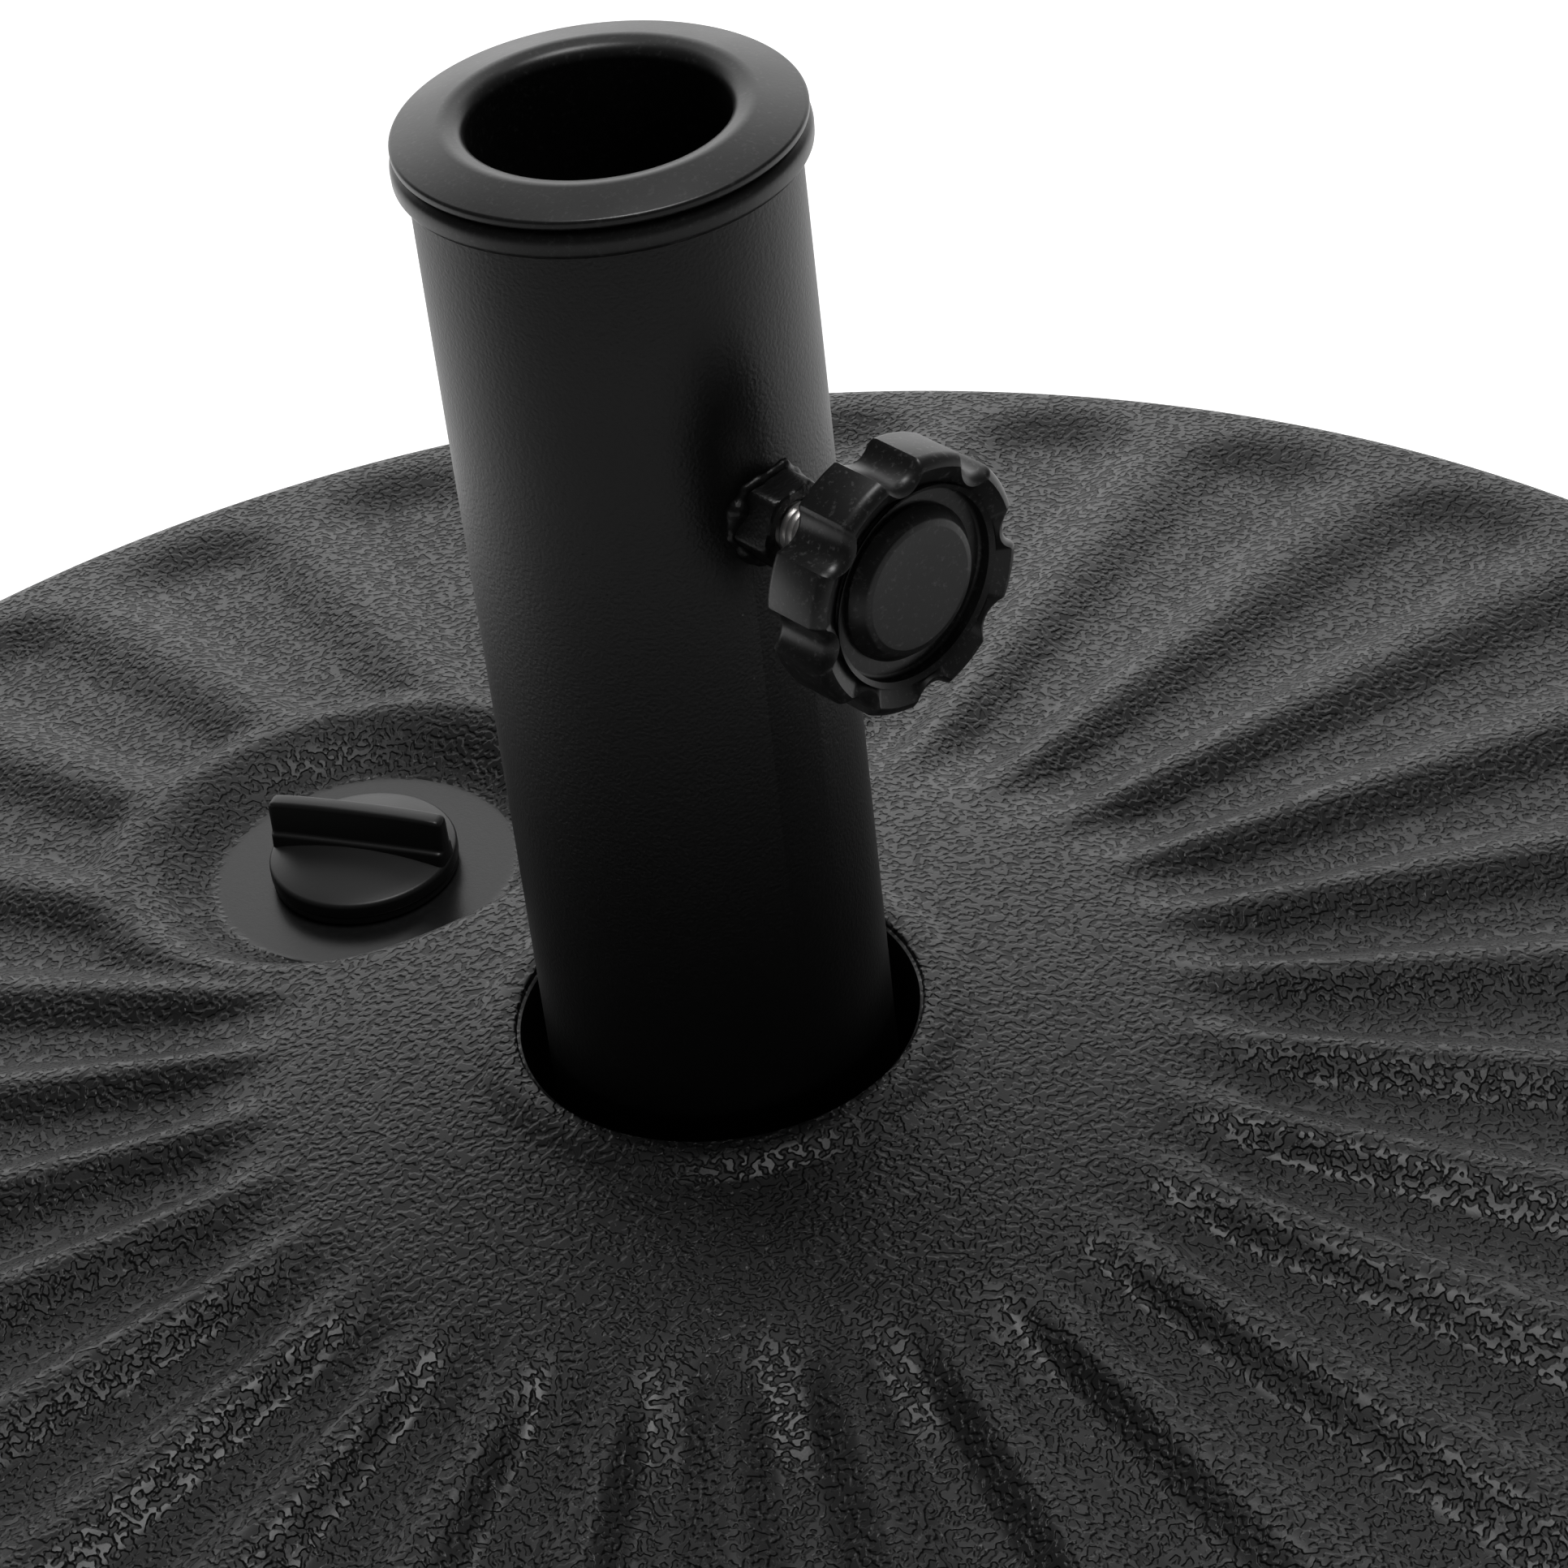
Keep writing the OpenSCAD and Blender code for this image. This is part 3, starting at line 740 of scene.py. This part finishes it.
def rubber():
    m = Shader("black_rubber")
    m.bump(m.noise(1800.0, 3.0), 0.00003, 0.8)
    bloom = m.noise(160.0, 3.0)
    m.set(Base_Color=m.mix(bloom, grey(0.010), grey(0.022)), Roughness=m.span(bloom, 0.3, 0.7, 0.7, 0.85))
    return m.material


def nylon():
    m = Shader("natural_nylon")
    cloud = m.noise(300.0, 3.0)
    m.bump(cloud, 0.00003, 0.6)
    m.set(Base_Color=m.mix(cloud, (0.66, 0.64, 0.56, 1), (0.74, 0.73, 0.66, 1)),
          Roughness=m.span(cloud, 0.3, 0.7, 0.4, 0.5))
    return m.material


# ---------------------------------------------------------------- camera, light and floor
BRIGHT_SIDE = (0.607, 0.794, 0.0)


def turn_about(degrees, axis):
    return Matrix.Rotation(np.radians(degrees), 3, axis)


def make_camera():
    """A long lens that looks down at the tube past the knob."""
    distance, height, azimuth = 575.336, 460.442, 37.4
    yaw, pitch, roll = 1.4827, 35.9823, -6.8886
    data = bpy.data.cameras.new("camera")
    data.sensor_width = 36.0
    data.lens = 103.22
    data.clip_start = 0.05
    camera = bpy.data.objects.new("camera", data)
    bpy.context.scene.collection.objects.link(camera)
    aim = turn_about(-azimuth, "Z") @ turn_about(-yaw, "Z") @ turn_about(90 - pitch, "X")
    camera.matrix_world = (aim @ turn_about(roll, "Z")).to_4x4()
    camera.location = turn_about(-azimuth, "Z") @ Vector((0, -distance * MM, (HUB_Z + height) * MM))
    bpy.context.scene.camera = camera


def make_floor():
    """A pale floor with painted light: it glows on the bright side of the room, less so on the dim side."""
    m = Shader("pale_floor")
    m.set(Base_Color=m.mix(m.noise(3.0), grey(0.86), grey(0.90)), Roughness=0.7, Specular_IOR_Level=0.0)
    way = m.node("ShaderNodeVectorMath", {0: m.place, 1: BRIGHT_SIDE}, operation="DOT_PRODUCT").outputs["Value"]
    # painted light: emission that fades from the bright side to the dim side stands in for light falling on the
    # floor
    m.set(Emission_Color=(1, 1, 1, 1), Emission_Strength=m.span(way, -0.35, 0.25, 0.03, 0.8, smooth=True))
    bpy.ops.mesh.primitive_plane_add(size=12)
    floor = bpy.context.object
    floor.name = "floor"
    floor.data.materials.append(m.material)


def soft_box(name, place, target, size, power):
    data = bpy.data.lights.new(name, "AREA")
    data.shape = "RECTANGLE"
    data.size, data.size_y = size
    data.energy = power
    lamp = bpy.data.objects.new(name, data)
    bpy.context.scene.collection.objects.link(lamp)
    lamp.location = place
    lamp.rotation_euler = (Vector(target) - Vector(place)).to_track_quat("-Z", "Y").to_euler()


def make_light():
    """A room that is bright on one side and dim on the other, and a soft box above."""
    world = bpy.data.worlds.new("studio")
    bpy.context.scene.world = world
    world.use_nodes = True
    tree = world.node_tree
    back = tree.nodes["Background"]
    way = tree.nodes.new("ShaderNodeTexCoord").outputs["Generated"]
    dot = tree.nodes.new("ShaderNodeVectorMath")
    dot.operation = "DOT_PRODUCT"
    tree.links.new(way, dot.inputs[0])
    dot.inputs[1].default_value = BRIGHT_SIDE
    level = tree.nodes.new("ShaderNodeMapRange")
    tree.links.new(dot.outputs["Value"], level.inputs["Value"])
    level.interpolation_type = "SMOOTHSTEP"
    level.inputs["From Min"].default_value = 0.48
    level.inputs["From Max"].default_value = 1.0
    level.inputs["To Min"].default_value = 0.05
    level.inputs["To Max"].default_value = 1.9
    tree.links.new(level.outputs["Result"], back.inputs["Strength"])
    back.inputs["Color"].default_value = (1, 1, 1, 1)
    soft_box("top", (0.18, -0.02, 1.6), (0, 0, 0.1), (0.5, 0.4), 9.0)
    bpy.context.scene.view_settings.view_transform = "Standard"
    bpy.context.scene.view_settings.look = "None"


# ---------------------------------------------------------------- the whole
def finish_piece(piece, body, slot, material, *nodes):
    piece.data.materials.clear()
    piece.data.materials.append(material)
    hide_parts(*nodes)
    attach(piece, body)


def main():
    make_camera()
    make_floor()
    make_light()
    tank = tank_plastic()
    plug = smooth_plastic("plug_black_plastic", 0.012, 0.42)
    trim = smooth_plastic("trim_black_plastic", 0.010, 0.36, speck=0.25)
    knob = smooth_plastic("knob_black_plastic", 0.012, 0.38, speck=0.6)
    paint = powder_coat()
    zinc = bright_zinc()
    steel = bright_zinc("plain_steel", 0.42, 0.38)
    finish_piece(make_tank(), "base", "tank_plastic", tank, "base_shell")
    finish_piece(make_plug(), "plug", "plug_plastic", plug, "fill_plug")
    finish_piece(make_seal(), "plug_ring", "seal_rubber", rubber(), "plug_seal")
    finish_piece(make_tube(), "base", "tube_paint", paint, "support_tube")
    finish_piece(make_collar(), "base", "trim_plastic", trim, "tube_collar")
    finish_piece(make_reducer(), "reducer", "trim_plastic", trim, "reducer_sleeve")
    finish_piece(make_clamp_nut(), "base", "tube_paint", paint, "clamp_nut")
    finish_piece(make_clamp_screw(), "knob", "zinc", zinc, "clamp_screw")
    finish_piece(make_clamp_tip(), "screw_tip", "nylon", nylon(), "clamp_tip")
    finish_piece(make_knob(), "knob", "knob_plastic", knob, "clamp_knob")
    finish_piece(make_knob_cap(), "knob", "knob_plastic", knob, "knob_cap")
    finish_piece(make_foot_plate(), "base", "bare_steel", steel, "foot_plate")
    finish_piece(make_foot_nut(), "base", "bare_steel", steel, "foot_nut")
    finish_piece(make_fixing_washer(), "base", "zinc", zinc, "fixing_washer")
    finish_piece(make_spring_washer(), "base", "zinc", zinc, "spring_washer")
    finish_piece(make_fixing_bolt(), "base", "zinc", zinc, "fixing_bolt")


main()
